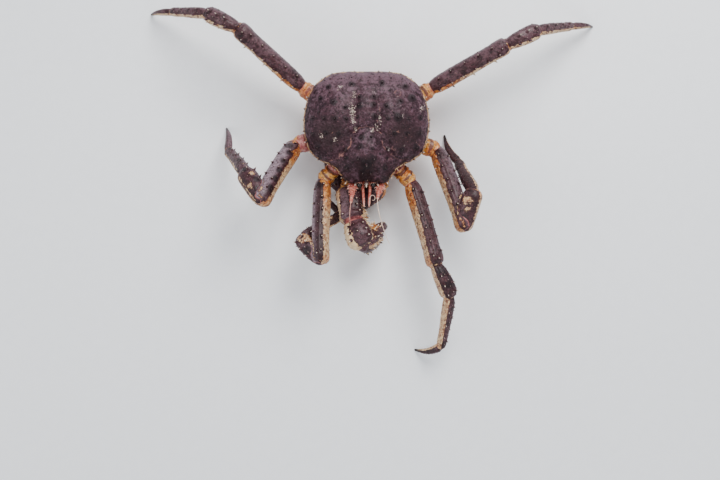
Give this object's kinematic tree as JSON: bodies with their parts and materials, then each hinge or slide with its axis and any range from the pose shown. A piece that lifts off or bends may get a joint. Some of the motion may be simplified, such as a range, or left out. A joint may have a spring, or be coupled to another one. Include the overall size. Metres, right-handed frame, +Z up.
{
  "type": "red king crab model",
  "caption": "Life-size still red king crab standing on its walking legs, with a spiny shell, the right claw bent down in front, the left one folded under the mouth, and a folded tail.",
  "frame": {"origin": "centre of the bounding box in plan, on the floor that the crab stands on", "axes": "+Z up; the crab faces -Y, so its own left side is +X"},
  "size_m": [0.823, 0.6318, 0.1796],
  "materials": {
    "purple_shell": "dark purple-brown shell with a damp satin sheen",
    "leg_shell": "red-brown shell, cream on the underside, satin",
    "pale_shell": "cream to orange underside shell, matt",
    "red_feeler": "orange-red feelers, matt",
    "eye_black": "glossy black"
  },
  "bodies": {
    "root": {"carapace": "purple_shell", "thorax": "pale_shell", "abdomen": "pale_shell", "eye_left": "eye_black", "eye_right": "eye_black", "antenna_left": "red_feeler", "antenna_right": "red_feeler", "antennule_left": "red_feeler", "antennule_right": "red_feeler", "maxilliped_left": "pale_shell", "maxilliped_right": "pale_shell", "cheliped_left_coxa": "pale_shell", "cheliped_left_merus": "leg_shell", "cheliped_left_carpus": "leg_shell", "cheliped_left_palm": "leg_shell", "cheliped_left_finger": "leg_shell", "cheliped_right_coxa": "pale_shell", "cheliped_right_merus": "leg_shell", "cheliped_right_carpus": "leg_shell", "cheliped_right_palm": "leg_shell", "cheliped_right_finger": "leg_shell", "leg2_left_coxa": "pale_shell", "leg2_left_merus": "leg_shell", "leg2_left_carpus": "leg_shell", "leg2_left_propodus": "leg_shell", "leg2_left_dactyl": "leg_shell", "leg2_right_coxa": "pale_shell", "leg2_right_merus": "leg_shell", "leg2_right_carpus": "leg_shell", "leg2_right_propodus": "leg_shell", "leg2_right_dactyl": "leg_shell", "leg3_left_coxa": "pale_shell", "leg3_left_merus": "leg_shell", "leg3_left_carpus": "leg_shell", "leg3_left_propodus": "leg_shell", "leg3_left_dactyl": "leg_shell", "leg3_right_coxa": "pale_shell", "leg3_right_merus": "leg_shell", "leg3_right_carpus": "leg_shell", "leg3_right_propodus": "leg_shell", "leg3_right_dactyl": "leg_shell", "leg4_left_coxa": "pale_shell", "leg4_left_merus": "leg_shell", "leg4_left_carpus": "leg_shell", "leg4_left_propodus": "leg_shell", "leg4_left_dactyl": "leg_shell", "leg4_right_coxa": "pale_shell", "leg4_right_merus": "leg_shell", "leg4_right_carpus": "leg_shell", "leg4_right_propodus": "leg_shell", "leg4_right_dactyl": "leg_shell"}
  },
  "joints": []
}
